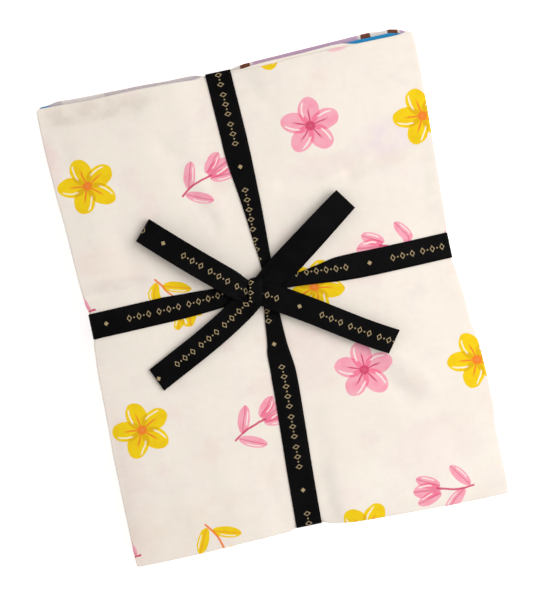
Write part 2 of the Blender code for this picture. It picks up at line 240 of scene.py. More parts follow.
class Finish:
    # A material: node() adds a node of any type, and returns one of its outputs.
    def __init__(self, name, roughness, **fixed):
        self.material = bpy.data.materials.new(name)
        self.material.use_nodes = True
        self.tree = self.material.node_tree
        self.shader = self.tree.nodes["Principled BSDF"]
        self.shader.inputs["Roughness"].default_value = roughness
        for socket, value in fixed.items():
            self.shader.inputs[socket.replace("_", " ")].default_value = value

    def node(self, kind, settings=None, inputs=None, output=0):
        made = self.tree.nodes.new("ShaderNode" + kind)
        for key, value in (settings or {}).items():
            setattr(made, key, value)
        for key, value in (inputs or {}).items():
            if isinstance(value, Term):
                self.tree.links.new(value.socket, made.inputs[key])
            else:
                made.inputs[key].default_value = value
        return Term(self, made.outputs[output])

    def feed(self, socket, value):
        self.tree.links.new(value.socket, self.shader.inputs[socket])

    def vector(self, operation, *inputs, output=0):
        return self.node("VectorMath", {"operation": operation}, dict(enumerate(inputs)), output)

    def flat(self):  # place on the flat cloth, in mm
        uv = self.node("UVMap", {"uv_map": "flat"})
        return self.vector("MULTIPLY", uv, (1000, 1000, 1000))

    def split(self, vector):
        parts = self.node("SeparateXYZ", None, {0: vector})
        return parts, Term(self, parts.socket.node.outputs[1])

    def noise(self, vector, size, detail=2.0, stretch=(1, 1, 1)):  # 0 to 1, with blots of about size mm
        place = self.vector("MULTIPLY", vector, tuple(s / size for s in stretch))
        return self.node("TexNoise", None, {"Vector": place, "Scale": 1.0, "Detail": detail})

    def mix(self, amount, a, b, blend="MIX"):
        return self.node(
            "Mix", {"data_type": "RGBA", "blend_type": blend},
            {0: amount, 6: a if isinstance(a, Term) else (*a, 1), 7: b if isinstance(b, Term) else (*b, 1)}, 2,
        )

    def bump(self, height, strength, distance):
        self.feed("Normal", self.node(
            "Bump", None, {"Height": height, "Strength": strength, "Distance": distance / 1000}))


def rgb(*values):  # an sRGB colour in 0 to 255, as the renderer's linear one, by the sRGB curve
    c = np.array(values) / 255
    return tuple(float(v) for v in np.where(c <= 0.04045, c / 12.92, ((c + 0.055) / 1.055) ** 2.4))


# cotton
weave = {
    "thread": 0.42, "threadTone": 0.004, "threadHigh": 0.2, "slub": 9.0, "slubStretch": (0.25, 9), "slubTone": 0.032,
    "slubHigh": 0.5, "dye": 24, "dyeTone": 0.07, "dyeHigh": 4.0, "mottle": 5.5, "mottleTone": 0.06,
    "tone": 0.972, "bump": 0.3, "depth": 0.10,
}


def clothSurface(finish, flat, colour):
    # A product of two sine waves for the weave, slubs both ways and uneven dyeing each add a share to the tone, which
    # multiplies the print's colour, and to the height.
    u, v = finish.split(flat)
    threads = (u * (np.pi / weave["thread"])).sin() * (v * (np.pi / weave["thread"])).sin()
    long, thin = weave["slubStretch"]
    slubs = sum(finish.noise(flat, weave["slub"], 3, way) for way in ((thin, long, 1), (long, thin, 1)))
    dye, mottle = finish.noise(flat, weave["dye"], 4), finish.noise(flat, weave["mottle"], 3)
    shade = weave["tone"] + (slubs - 1.0) * weave["slubTone"] + (dye - 0.5) * weave["dyeTone"]
    shade = shade + (mottle - 0.5) * weave["mottleTone"] + threads * weave["threadTone"]
    tone = finish.node("CombineXYZ", None, {0: shade, 1: shade, 2: shade})
    finish.feed("Base Color", finish.mix(1.0, colour, tone, "MULTIPLY"))
    height = threads * weave["threadHigh"] + slubs * weave["slubHigh"] + dye * weave["dyeHigh"]
    finish.bump(height, weave["bump"], weave["depth"])


# The print is a repeat of tossed blossoms and sprigs. Slots: x, y, turn, kind (0 blossom, 1 sprig), colour
# (0 yellow, 1 pink). A motif stays within its reach. Its outline wobbles by "uneven".
tossed = {
    "tile": (196, 150), "reach": 22.0, "uneven": 1.3, "line": 0.92, "shine": 0.8,
    "slots": [
        (96, 80, 12, 0, 0), (162, 70, -64, 1, 1), (228, 88, 140, 0, 1), (128, 152, 205, 1, 0),
        (212, 143, 38, 0, 0), (64, 158, 84, 1, 1),
    ],
    "ground": rgb(245, 235, 223), "through": [rgb(242, 213, 207), rgb(232, 214, 216)],
    "petal": [rgb(246, 209, 10), rgb(247, 172, 188)],
    "overlap": [rgb(228, 180, 2), rgb(243, 124, 154)],
    "heart": [rgb(243, 126, 38), rgb(210, 66, 106)], "glint": rgb(252, 246, 234),
}
# Both motifs are made of ellipses with a line along the middle and a pale stroke along one edge. Places are in half
# sizes of the ellipse, and pairs are where a thing has faded in and out.
petals = {
    "count": 5, "out": 9.0, "long": 8.3, "wide": 6.1, "heart": 2.8, "line": (0.11, 0.04), "lineEnd": (0.35, -0.2),
    "edge": 0.62, "bow": 0.35, "stroke": (0.11, 0.04), "strokeAt": 0.12, "strokeEnd": (0.62, 0.40),
}
# Sprig parts: x, y, turn, half length, half width. The first three are the flower, the others leaves.
sprigs = {
    "parts": [
        (0, 10.6, 90, 7.8, 4.8), (-4.8, 9.4, 112, 7.2, 3.6), (4.8, 9.4, 68, 7.2, 3.6),
        (-6.8, -5.4, 138, 8.4, 3.4), (7.2, -9.2, 40, 8.2, 3.3),
    ],
    "line": (0.16, 0.06), "lineEnd": (3, 2), "lineShare": 0.55, "edge": -0.60, "bow": -0.35, "stroke": (0.15, 0.06),
    "strokeAt": 0.1, "strokeEnd": (0.60, 0.40), "stem": (0.85, 0.40), "stemFrom": -17.0, "stemTo": 5.0,
    "stemBend": 0.9, "stemWave": 0.22,
}

# Tinted patches of the top cloth: x, y, turn, half length, half width, amount, red, green, blue. The pink and lilac
# ones are where the layer beneath shows through. The grey and tan ones are painted shade along creases, folds and
# edges, the one paler than the ground is painted light, and the small deep pink one at the far edge is a print
# mark. topAt is where x and y are 0 on the flat cloth.
topAt = (771, 140)
throughAndPaintedShadePatches = [
    (74, 76, 11, 38, 7, 0.48, 234, 222, 214), (86, 82, 0, 17, 10, 0.55, 236, 218, 225),
    (75, -109, 15, 27, 17, 0.80, 240, 219, 213), (22, -38, 35, 22, 15, 0.40, 240, 219, 213),
    (-106, -92, 93, 62, 16, 0.42, 240, 219, 210), (-108, 108, 90, 14, 9, 0.70, 242, 214, 212),
    (-90, 29, -1, 22, 4, 0.35, 216, 199, 194), (62, 20, 10, 16, 8, 0.40, 242, 218, 211),
    (-72, -122, 8, 40, 14, 0.30, 238, 224, 204), (68, -62, -50, 18, 7, 0.50, 234, 220, 211),
    (-78, 134, -1, 34, 6, 0.75, 222, 210, 196), (111, 46, 86, 36, 8, 0.75, 236, 227, 216),
    (-85, 42, -12, 22, 11, 0.40, 246, 224, 214), (69, 140.2, 3, 5, 1.6, 1.00, 247, 165, 184),
    (-98, 116, 20, 22, 14, 0.20, 236, 224, 212), (66, -118, 10, 54, 20, 0.70, 250, 241, 230),
]


def ellipse(finish, local, x, y, turn, halfLong, halfWide, soft=0.07):
    # Two dot products give the place along and across the ellipse in its half sizes. The third coordinate of local
    # is 1, and carries the ellipse's own place.
    c, s = np.cos(np.radians(turn)), np.sin(np.radians(turn))
    along = finish.vector("DOT_PRODUCT", local, (c / halfLong, s / halfLong, -(c * x + s * y) / halfLong), output=1)
    across = finish.vector("DOT_PRODUCT", local, (-s / halfWide, c / halfWide, (s * x - c * y) / halfWide), output=1)
    far = along * along + across * across
    return far.fade(1 + soft, 1 - soft), along, across


def brushed(finish, local, parts, look):
    # Sums over the ellipses: how many cover a place, the lines in them, and the strokes, each a parabola
    cover, lines, strokes = 0.0, 0.0, 0.0
    for part in parts:
        mask, along, across = ellipse(finish, local, *part)
        cover = mask + cover
        lines = lines + mask * abs(across).fade(*look["line"]) * along.fade(*look["lineEnd"])
        bowed = across - look["edge"] + along * along * look["bow"]
        ends = abs(along - look["strokeAt"]).fade(*look["strokeEnd"])
        strokes = strokes + abs(bowed).fade(*look["stroke"]) * ends
    return cover, lines, strokes


def groundWithPaintedShade(finish, flat):
    # The cream ground. The layer beneath shows through faintly all over in two tints. The patches add more of it,
    # and painted shade along creases, folds and edges, and one patch of painted light.
    other = finish.vector("ADD", flat, (311, 173, 0))  # another part of the noise
    pink = finish.noise(flat, 25, 4).fade(0.53, 0.68) * 0.28
    grey = finish.noise(other, 19, 4).fade(0.54, 0.70) * 0.16
    ground = finish.mix(pink, tossed["ground"], tossed["through"][0])
    ground = finish.mix(grey, ground, tossed["through"][1])
    cloudy = finish.noise(other, 10, 4).fade(0.38, 0.60) * 0.55 + 0.45
    onTop = finish.vector("SUBTRACT", flat, (*topAt, -1))
    # the patches: show-through tints, painted shade and one patch of painted light
    for *form, amount, red, green, blue in throughAndPaintedShadePatches:
        ground = finish.mix(ellipse(finish, onTop, *form, 0.9)[0] * cloudy * amount, ground, rgb(red, green, blue))
    return ground


def tossedPrint(finish, flat):
    # Within reach of a slot in the wrapped tile, its turned place becomes the motifs' own place. The colour is deeper
    # where petals overlap or the paint has pooled.
    u, v = finish.split(flat)
    wobble = (finish.noise(flat, 7, 2) - 0.5) * tossed["uneven"]
    place = finish.node("CombineXYZ", None, {0: u + wobble, 1: v - wobble, 2: 0.0})
    half = np.array([*tossed["tile"], 2]) / 2
    local, inside, sprig, pink = (0, 0, 1), 0.0, 0.0, 0.0
    for x, y, turn, kind, colour in tossed["slots"]:
        step = finish.vector("WRAP", finish.vector("SUBTRACT", place, (x, y, 0)), half, -half)
        near = finish.vector("LENGTH", step, output=1) < tossed["reach"]
        turned = finish.node(
            "VectorRotate", {"rotation_type": "Z_AXIS"}, {"Vector": step, "Angle": -np.radians(turn)})
        part = finish.node("VectorMath", {"operation": "SCALE"}, {0: turned, 3: near})
        local = finish.vector("ADD", part, local)
        inside = near + inside
        sprig = near + sprig if kind else sprig
        pink = near + pink if colour else pink

    angles = [90 + 360 / petals["count"] * k for k in range(petals["count"])]
    ring = [(petals["out"] * np.cos(np.radians(a)), petals["out"] * np.sin(np.radians(a)), a) for a in angles]
    blossom, veins, glints = brushed(finish, local, [(*at, petals["long"], petals["wide"]) for at in ring], petals)
    length = finish.vector("LENGTH", finish.vector("MULTIPLY", local, (1, 1, 0)), output=1)
    heart = length.fade(petals["heart"] + 0.3, petals["heart"] - 0.3)
    growth, ribs, shines = brushed(finish, local, sprigs["parts"], sprigs)
    lx, ly = finish.split(local)
    stem = abs(lx - (ly * sprigs["stemWave"]).sin() * sprigs["stemBend"]).fade(*sprigs["stem"])
    stem = stem * (ly < sprigs["stemTo"]) * (ly > sprigs["stemFrom"])

    def motif(ofBlossom, ofSprig):
        return (ofBlossom * (1 - sprig) + ofSprig * sprig) * inside

    cover = motif(blossom, growth)
    twice = (cover - 1.0).max(0.0).min(1.0)
    lines = motif(veins.max(heart), (ribs * sprigs["lineShare"]).max(stem))
    pooled = finish.noise(flat, 5.5, 3).fade(0.35, 0.75) * 0.45
    petal, overlap, deep = (finish.mix(pink, *tossed[key]) for key in ("petal", "overlap", "heart"))
    petal = finish.mix(pooled.max(twice), petal, overlap)
    colour = finish.mix(cover.min(1.0), groundWithPaintedShade(finish, flat), petal)
    colour = finish.mix(lines.min(1.0) * tossed["line"], colour, deep)
    return finish.mix(motif(glints, shines).min(1.0) * tossed["shine"], colour, tossed["glint"])


def spotPrint(finish, flat, ground, mark, pitch, radius, second=None, up=0.0):
    # Flattened spots in rows, every other row moved half a step, with uneven outlines and, in places, a second colour
    u, v = finish.split(flat)
    v = v + up
    offRow = v.wrap(0.0, 2 * pitch) > pitch
    x = (u + offRow * (pitch / 2)).wrap(-pitch / 2, pitch / 2)
    y = (v - pitch / 2).wrap(-pitch / 2, pitch / 2)
    uneven = finish.noise(flat, 4, 2) * 0.9 + 0.55
    mask = ((x * x + y * y * 1.4) / uneven).fade(radius**2 * 1.15, radius**2 * 0.85)
    marks = finish.mix(finish.noise(flat, 17, 1).fade(0.46, 0.54), mark, second) if second else mark
    return finish.mix(mask, ground, marks)


def ovalPrint(finish, flat, ground, pale, full, dot, look):
    # Rows of ovals. In one band of four they have the full colour, and a small dot beyond each end.
    u, v = finish.split(finish.vector("SUBTRACT", flat, (*look["at"], 0)))
    (wide, high), (halfWide, halfHigh) = look["pitch"], look["half"]
    x, y = u.wrap(-wide / 2, wide / 2), v.wrap(-high / 2, high / 2)
    uneven = finish.noise(flat, 6, 2) * 0.3 + 0.85
    far = (x * x / halfWide**2 + y * y / halfHigh**2) / uneven
    beyond = abs(x) - halfWide - look["dotOut"]
    near = (beyond * beyond + y * y * look["dotTall"]) / uneven
    banded = (u - wide / 2).wrap(0.0, 4 * wide) < look["band"] * wide
    colour = finish.mix(far.fade(1.08, 0.94), ground, finish.mix(banded, pale, full))
    return finish.mix(near.fade(*look["dot"]) * banded, colour, dot)


def stripePrint(finish, flat, ground, mark, pitch, share, checked=False):
    # Stripes that fill a share of each pitch, one way or both ways
    stripes = [
        abs(way.wrap(-pitch / 2, pitch / 2)).fade(pitch * share / 2 + 0.15, pitch * share / 2 - 0.15)
        for way in finish.split(flat)[: 2 if checked else 1]
    ]
    return finish.mix(stripes[0].max(stripes[1]) if checked else stripes[0], ground, mark)


# "at" is where an oval's middle lies on the flat cloth. "band" is in pitches.
ovals = {
    "at": (733, 281), "pitch": (88, 60), "half": (31.5, 26), "band": 1.25, "dotOut": 4.5, "dotTall": 0.06,
    "dot": (10.5, 8.0),
}
# Each cotton from the lowest up: its finish, the record's slot, its print, and the print's colours and sizes
cottons = [
    ("tealCotton", "teal_cotton", spotPrint, rgb(70, 150, 146), rgb(214, 236, 228), 9.0, 1.5),
    ("orangeCotton", "orange_cotton", stripePrint, rgb(244, 158, 62), rgb(252, 214, 150), 7.0, 0.28),
    ("redCotton", "red_cotton", spotPrint, rgb(214, 82, 112), rgb(250, 196, 204), 12.0, 2.3),
    ("yellowCotton", "yellow_cotton", stripePrint, rgb(238, 206, 82), rgb(252, 240, 188), 11.0, 0.22, True),
    ("pinkCotton", "pink_cotton", spotPrint, rgb(243, 160, 178), rgb(252, 228, 230), 8.0, 1.4),
    ("lavenderCotton", "lavender_cotton", ovalPrint, rgb(246, 232, 222), rgb(224, 208, 206),
     rgb(208, 172, 197), rgb(122, 68, 46), ovals),
    ("blueCotton", "blue_cotton", spotPrint, rgb(32, 142, 200), rgb(232, 240, 245), 26.0, 2.6,
     rgb(104, 184, 226), 9.0),
    ("creamPrintCotton", "cream_print_cotton", tossedPrint),
]


def cottonFinish(name, pattern, *values):
    finish = Finish(name, 0.88, Sheen_Weight=0.12, Sheen_Roughness=0.5, Specular_IOR_Level=0.25)
    flat = finish.flat()
    clothSurface(finish, flat, pattern(finish, flat, *values))
    print("finish:", name)
    return finish.material


# Each quarter from the lowest up, as in the solids
quarterColumns = "left right near far lean nearRise farRise first".split()
quarters = [
    (-114.6, 115.4, -139.6, 141.0, 0.004, 0.003, -0.004, 1),
    (-115.8, 114.2, -140.8, 140.2, -0.006, -0.004, 0.005, -1),
    (-114.0, 115.8, -139.0, 141.8, 0.003, 0.006, 0.002, 1),
    (-115.4, 114.6, -140.2, 141.2, -0.003, 0.002, -0.006, -1),
    (-115.9, 114.8, -141.0, 142.4, 0.005, -0.005, 0.004, 1),
    (-114.8, 114.4, -139.4, 144.6, 0.004, 0.004, 0.012, -1),
    (-114.4, 115.9, -139.2, 141.4, -0.003, -0.006, 0.012, 1),
    (-115.2, 115.6, -139.9, 140.6, 0.006, -0.014, 0.001, -1),
]
topQuarter, topLayer = len(quarters) - 1, stack["layers"] - 1
# Near an edge the layers lie closer together, ripple and droop. "half" is half a layer of the solids.
cloth = {
    "thick": 0.8, "topThick": 0.6, "step": 6.0, "topStep": 2.5, "across": 228, "along": 279, "half": 0.5,
    "bends": (-67, -45, -22, 0, 22, 45, 67), "ragged": 0.6, "raggedWave": 1.9, "wavy": 0.25, "droop": 0.35,
    "droopOver": 1.6, "lowDroop": 0.4, "closer": 0.14, "closerOver": 9.0, "ripple": 0.16, "creasedFrom": 14,
    "tucked": 0.4, "sideHid": 0.7, "nearHid": 0.5,
}
tabledFrom = 5  # the first quarter whose far edge follows the tables
# How far the real edges stray, by quarter and layer from 0: tables of place and distance
strays = {"side": 114, "end": 140}  # the straight edges that the tables stray from
strayFar = {
    (7, 3): [
        (-117, 1.2), (-113, 1.7), (-100, 1.3), (-82, 0.6), (-58, 0.9), (-33, 0.3), (-16, -0.4), (9, -0.6),
        (24, -0.8), (46, 0.3), (71, 0.6), (102, 0.6), (108, 0.9), (112, 1.6), (116, 0.8),
    ],
    (7, 2): [
        (-117, 0.4), (-30, -0.4), (-8, 0.4), (9, 0.2), (15, 0.9), (24, 1.4), (47, 2), (70, 3), (75, 2.2), (82, 0.3),
        (115, -1.6),
    ],
    (6, 3): [
        (-117, 0.6), (-112, 3), (-109, 2.9), (-105, 1), (-95, 0.4), (-82, -0.2), (-58, 0), (-33, -0.4), (-16, -1.1),
        (9, -1.2), (24, -1.2), (46, -0.2), (62, 1.2), (71, 2), (75, 3), (90, 3.2), (105, 3.3), (109, 1.4),
        (116, -1.4),
    ],
    (5, 3): [
        (-117, 1.2), (-109, 3.6), (-102, 4.8), (-94, 4.2), (-65, 3.8), (-50, 3.7), (-36, 3.1), (-21, 3.3),
        (-14, 2.7), (8, 3.6), (16, 3.9), (31, 4.3), (45, 4.9), (60, 5.4), (75, 6), (84, 6.4), (92, 6.6), (98, 5.8),
        (105, 6.1), (110, 4), (116, -0.2),
    ],
}
strayNear = [
    (-117, 0.1), (-95, -0.1), (-73, 0.2), (-58, 0.7), (-43, 1.2), (-28, 1.6), (-20, 1.8), (-13, 2.6), (-6, 3),
    (2, 2.8), (8, 1.5), (16, 0.4), (23, -0.3), (37, -0.9), (52, -1.4), (67, -1.7), (81, -2.2), (112, -2.3),
    (117, -1.7),
]
straySide = {
    -1: [
        (-142, 0.8), (-129, 0.5), (-94, 0.4), (-77, 0.4), (-60, 0.9), (-43, 1.4), (-26, 1.6), (-9, 2.5), (8, 3.3),
        (17, 2.9), (34, 1.8), (51, 1.1), (69, 0.4), (86, -0.8), (103, -1.5), (120, -2.1), (142, -2.2),
    ],
    1: [
        (-143, 0.2), (-131, 1.1), (-105, 1), (-96, 1.3), (-88, 2.5), (-71, 2.5), (-54, 2), (-45, 1.2), (-36, -0.3),
        (-19, -1.2), (-1, -2.8), (16, -3.1), (24, -2.5), (41, -1.9), (58, -1.1), (75, -0.3), (92, 0.4), (109, 1),
        (126, 1.4), (135, 1.4), (139, 1.2), (142, 0.4),
    ],
}
# Soft creases of the stack's top: from x, y to x, y, half width, height
creaseFree = 22
creaseLines = [
    (-108, 135, -60, 132, 6.5, -2.6), (-46, 102, -19, 79, 5, -1.4), (-32, 86, -17, 55, 6, 1.2),
    (-40, 85, -25, 52, 5, -1), (12, 130, 23, 111, 6, -0.9), (21, 66, 61, 66, 5, -1.3), (61, 66, 100, 77, 5, -2),
    (60, -43, 79, -68, 7, 1.1), (49, -48, 67, -74, 5.5, -1.1), (39, -66, 60, -86, 10, 0.5),
    (4, -105, 7, -133, 4, -1.2), (14, -106, 16, -135, 6, 0.9), (-25, -105, -20, -130, 5, -0.8),
    (-104, 26, -76, 27, 3.5, -1.2), (80, 25, 111, 25, 4, -0.9), (-111, -56, -115, -123, 5, -1.2),
    (19, -77, 26, -128, 9, 0.5), (23, 32, 45, 49, 7, -0.5), (-40, 9, -66, -13, 7, -0.4), (116, 123, 118, 86, 8, 0.5),
    (-94, 88, -91, 44, 9, 0.6), (-84, -68, -71, -126, 9, 0.6), (98, 10, 100, -39, 8, -0.5),
    (-105, 115, -101, 83, 6, -0.7), (83, -91, 95, -124, 9, -0.5), (-82, 55, -78, 32, 6, -0.6),
    (42, 120, 57, 105, 9, 0.5), (-49, -94, -47, -125, 7, 0.6),
]


def creased(x, y):  # the sum of the creases, each a bell of the distance from its line, none under the ribbons
    total = np.zeros_like(x)
    for ax, ay, bx, by, width, height in creaseLines:
        run = np.array([bx - ax, by - ay])
        t = np.clip(((x - ax) * run[0] + (y - ay) * run[1]) / (run @ run), 0, 1)
        far = np.hypot(x - ax - run[0] * t, y - ay - run[1] * t)
        total += height * np.exp(-((far / width) ** 2))
    return total * (1 - bell(x - longLine(y), creaseFree)) * (1 - bell(y - crossLine(x), creaseFree))


def underTop(own, top, side, h, centre, inside):
    # own, or the furthest that the top edge hides from the camera: it looks past the edge, so lower may be further
    limit = centre + (top - centre) * (1 + (stack["height"] - h) / shot["distance"])
    return side * np.minimum(side * own, side * limit - inside)


def sideEdge(number, quarter, side, y, h, depth):
    # x of a free side: the quarter's own, or the top's table, drawn in to the tied edge under the ribbon
    top = side * strays["side"] + smoothTable(y, straySide[side])
    own = quarter["left" if side < 0 else "right"] - quarter["lean"] * y
    reach = stack["drawnSides"]
    if number == topQuarter:
        own, reach = top, stack["drawnTop"]
    else:
        own = underTop(own, top, side, h, shot["aim"][0], cloth["sideHid"])
    tied = stack["tiedX"][side] - side * cornerInset(depth)
    return own + (tied - own) * bell(y - crossLine(side * stack["halfX"]), *reach)


def endEdge(number, layer, quarter, side, x, h, depth):
    # y of each layer's end: the quarter's own, a little ragged, or a table, drawn in to the tied edge
    own = quarter["near" if side < 0 else "far"] + quarter["nearRise" if side < 0 else "farRise"] * x
    own = own + cloth["ragged"] * np.sin(cloth["raggedWave"] * h + side)
    own = own + cloth["wavy"] * np.sin(x / (19 + 3 * number) + 1.7 * layer + number)
    if side < 0:
        top = smoothTable(x, strayNear) - strays["end"]
        own = underTop(own, top, side, h, shot["aim"][1], cloth["nearHid"])
        own = np.where((layer == topLayer) & (number == topQuarter), top, own)
    elif number >= tabledFrom:
        own = np.minimum(own, smoothTable(x, strayFar[(number, topLayer)]) + strays["end"] - cloth["tucked"])
        for k in range(stack["layers"]):
            if (number, k) in strayFar:
                own = np.where(layer == k, smoothTable(x, strayFar[(number, k)]) + strays["end"], own)
    tied = stack["tiedY"][side] - side * cornerInset(depth)
    reach = stack["drawnTop"] if number >= tabledFrom else stack["drawnEnds"]
    return own + (tied - own) * bell(x - longLine(side * stack["halfY"]), *reach)


def evenSteps(length, step):  # places along an edge-to-edge run, from 0 to 1, close together at both ends
    rim = np.array([0, 0.4, 1.2, 2.6, 5.0])
    inner = np.linspace(rim[-1], length - rim[-1], int((length - 2 * rim[-1]) / step) + 1)[1:-1]
    return np.concatenate([rim, inner, (length - rim)[::-1]]) / length


def foldedQuarter(number):
    # One back-and-forth sheet: columns along the section, layer by layer and round each bend, and rows from the near
    # end to the far one. h is a point's height in a flat stack, before the stack's form lifts it.
    quarter = dict(zip(quarterColumns, quarters[number]))
    finest = cloth["topStep"] if number == topQuarter else cloth["step"]
    column = {"layer": [], "t": [], "dx": [], "h": [], "way": []}

    def add(*values):
        for key, value in zip(column, np.broadcast_arrays(*values)):
            column[key].append(np.atleast_1d(value))

    for layer in range(stack["layers"]):
        way = quarter["first"] * (-1) ** layer
        middle = number * stack["quarterPitch"] + cloth["half"] + layer * stack["layerPitch"]
        add(layer, evenSteps(cloth["across"], finest if layer == topLayer else cloth["step"]), 0.0, middle, way)
        if layer < topLayer:
            angle, bend = np.radians(cloth["bends"]), stack["bend"]
            add(layer, 1.0, way * bend * np.cos(angle), middle + bend * (1 + np.sin(angle)), way)
    layer, t, dx, h, way = (np.concatenate(column[key])[:, None] for key in column)

    depth = np.maximum(0, np.minimum(h, stack["height"] - h) - cloth["half"])
    g = evenSteps(cloth["along"], finest)[None, :]
    y = quarter["near"] * (1 - g) + quarter["far"] * g
    free = [sideEdge(number, quarter, side, y, h, depth) for side in (-1, 1)]
    ends = []  # the start and the end of each layer's run
    for side, folded in ((-way, layer > 0), (way, layer < topLayer)):
        ends.append(np.where(side < 0, *free) - np.where(folded, side * stack["bendReach"], 0))
    x = ends[0] * (1 - t) + ends[1] * t + dx
    near, far = (endEdge(number, layer, quarter, side, x, h, depth) for side in (-1, 1))
    y = near * (1 - g) + far * g

    toEnd = np.minimum(y - near, far - y)
    toSide = np.where(layer == topLayer, np.abs(x - ends[1]), np.where(layer == 0, np.abs(x - ends[0]), np.inf))
    closeness = np.exp(-toEnd / cloth["closerOver"])
    h = h - (layer - topLayer / 2) * cloth["closer"] * closeness
    weight = np.clip((h - cloth["creasedFrom"]) / (stack["height"] - cloth["creasedFrom"]), 0, 1)
    wave = np.sin(x / (13 + number) + 2.1 * number + 0.4 * layer) * (1 - bell(x - longLine(y)))
    droop = np.exp(-np.minimum(toEnd, toSide) / cloth["droopOver"]) * (layer == topLayer)
    z = lifted(x, y, h) + creased(x, y) * weight + cloth["ripple"] * closeness * wave
    z = z - cloth["droop"] * droop * (1 if number == topQuarter else cloth["lowDroop"])
    points = np.stack([x, y, z], 2)
    return points, runAlong(points), y - quarter["near"]


def addQuarters():
    for number, (finishName, slotName, pattern, *values) in enumerate(cottons):
        grids = *foldedQuarter(number), cloth["topThick" if number == topQuarter else "thick"]
        finish = cottonFinish(finishName, pattern, *values)
        addSheet(
            f"cotton_quarter_{number + 1}", f"fat_quarter_{number + 1}", finish, grids,
        )
    print("quarters:", len(quarters))


# ribbon
ribbon = {
    "width": 15.5, "thick": 0.36, "pitch": 89.6, "above": 0.30, "gap": 0.50, "crossOver": 1.3, "crossReach": 24,
    "rib": 0.55, "selvedge": 0.5, "black": rgb(7, 6, 7), "gold": rgb(176, 156, 118),
}
# The marks: runs of open lozenges with small solid ones between (start, how many of both), and one alone
marks = {
    "cell": 3.0, "runs": [(0.0, 5), (18.4, 5), (36.8, 9)], "halfLong": 1.55, "halfHigh": 2.15, "outline": 0.84,
    "small": 0.62, "alone": 76.8, "aloneSize": 1.5, "ink": 0.72, "inkVaries": 0.22,
}
# How much of the ribbon's width is turned under, by place along each run
tuckLong = [
    (-48, 0), (-38, 0.9), (-30, 2.1), (-26, 3.4), (-16, 5.0), (-6, 6.2), (8, 8.0), (21, 8.5), (37, 6.7), (66, 3.2),
    (92, 0.2), (100, 0),
]
tuckCross = [(-66, 0), (-40, 2), (-20, 5.5), (0, 8.2), (10, 8.4), (17, 7.5), (31, 3.9), (43, 0.8), (56, 0)]
hem = {
    "round": 0.30, "least": 0.15, "spare": 0.8,
    # columns across: the turned-under part from -1 to 0, and what lies on top from 0 to 1
    "columns": (
        -1, -0.75, -0.5, -0.3, -0.16, -0.07, -0.03, 0, 0.02, 0.05, 0.1, 0.18, 0.3, 0.45, 0.6, 0.75, 0.88, 1,
    ),
}


def ribbonFinish():
    # Fine ribs across and a raised selvedge. A lozenge is where the distances along and across, in half sizes, add up
    # to less than 1, and an open one is a band about such a sum.
    finish = Finish("blackRibbon", 0.5, Sheen_Weight=0.003, Sheen_Roughness=0.35, Specular_IOR_Level=0.035)
    flat = finish.flat()
    u, v = finish.split(flat)
    inPitch, out, cell = u.wrap(0.0, ribbon["pitch"]), abs(v), marks["cell"]
    gold = ((abs(inPitch - marks["alone"]) + out) / marks["aloneSize"]).fade(1.05, 0.9)
    for start, count in marks["runs"]:
        here = (inPitch > start) * (inPitch < start + count * cell)
        pair = (inPitch - start).wrap(0.0, 2 * cell)
        size = abs(pair - cell / 2) / marks["halfLong"] + out / marks["halfHigh"]
        gold = gold + abs(size - marks["outline"]).fade(0.22, 0.12) * here
        gold = gold + ((abs(pair - cell * 1.5) + out) / marks["small"]).fade(1.1, 0.8) * here
    worn = finish.noise(flat, 0.9, 2).fade(0.25, 0.5)  # the ink is a little thin in places
    gold = gold.min(1.0) * (marks["ink"] + worn * marks["inkVaries"])
    blotch = finish.noise(flat, 12, 3, (1, 0.6, 1))
    black = finish.mix(blotch.fade(0.35, 0.7), ribbon["black"], tuple(c * 1.7 for c in ribbon["black"]))
    finish.feed("Base Color", finish.mix(gold, black, ribbon["gold"]))
    finish.feed("Roughness", 0.56 - gold * 0.08 - blotch * 0.10)
    ribs = (u * (2 * np.pi / ribbon["rib"])).sin()
    edge = (out - (ribbon["width"] / 2 - ribbon["selvedge"])).fade(-0.15, 0.15)
    finish.bump(ribs * 0.5 + edge * 1.2 + blotch * 0.5, 0.35, 0.08)
    print("finish: black ribbon with gold marks")
    return finish.material


def addRibbon(name, node, grids):
    # A length of ribbon. Only the face that its normals point to has the marks: the back's pattern is moved off it.
    length = runAlong(grids[0])[-1] / 1000
    grids, size = (*grids, ribbon["thick"]), (length, ribbon["width"] / 1000)
    addSheet(name, node, blackRibbon, grids, backShift=100)
    print(name, "is", round(length * 1000), "mm long")


def wrapPath(spot, tied, start, top, bottom):
    # Places and heights of a run's middle line, from the knot over the high end, beneath, and back over the low end:
    # stretches on the cloth, joined by quarter circles round the tied edges
    off, r = ribbon["above"] + ribbon["thick"] / 2, stack["tiedRound"]

    def flatRun(first, last, height):  # a point every 2.5 mm or less
        place = np.linspace(first, last, int(abs(last - first) / 2.5) + 2)
        return np.stack([place, height(*spot(place))], 1)

    def corner(side, upward):  # a quarter circle, off the cloth by the ribbon's own distance
        angle = np.linspace(0, np.pi / 2, 9)[1:-1][:: side * upward]
        out, up = np.sin(angle), upward * np.cos(angle)
        centre = tied[side] - side * r
        level = stack["height"] - r if upward > 0 else r
        onCloth = lifted(*spot(centre + side * r * out), level + r * up)
        return np.stack([centre + side * (r + off) * out, onCloth + off * up], 1)

    def endRun(side):  # down the high end or up the low one, with a slight wave as it passes the layers
        onSide = tied[side]
        level = np.linspace(r, stack["height"] - r, 13)[::-side]
        out = onSide + side * (off + 0.10 * np.sin(level * 1.1 + side))
        upright = np.stack([out, lifted(*spot(onSide + 0 * level), level)], 1)
        return corner(side, side), upright, corner(side, -side)

    low, high = tied[-1] + r, tied[1] - r
    return np.concatenate([
        flatRun(start, high, top), *endRun(1), flatRun(high, low, bottom), *endRun(-1), flatRun(low, start, top),
    ])


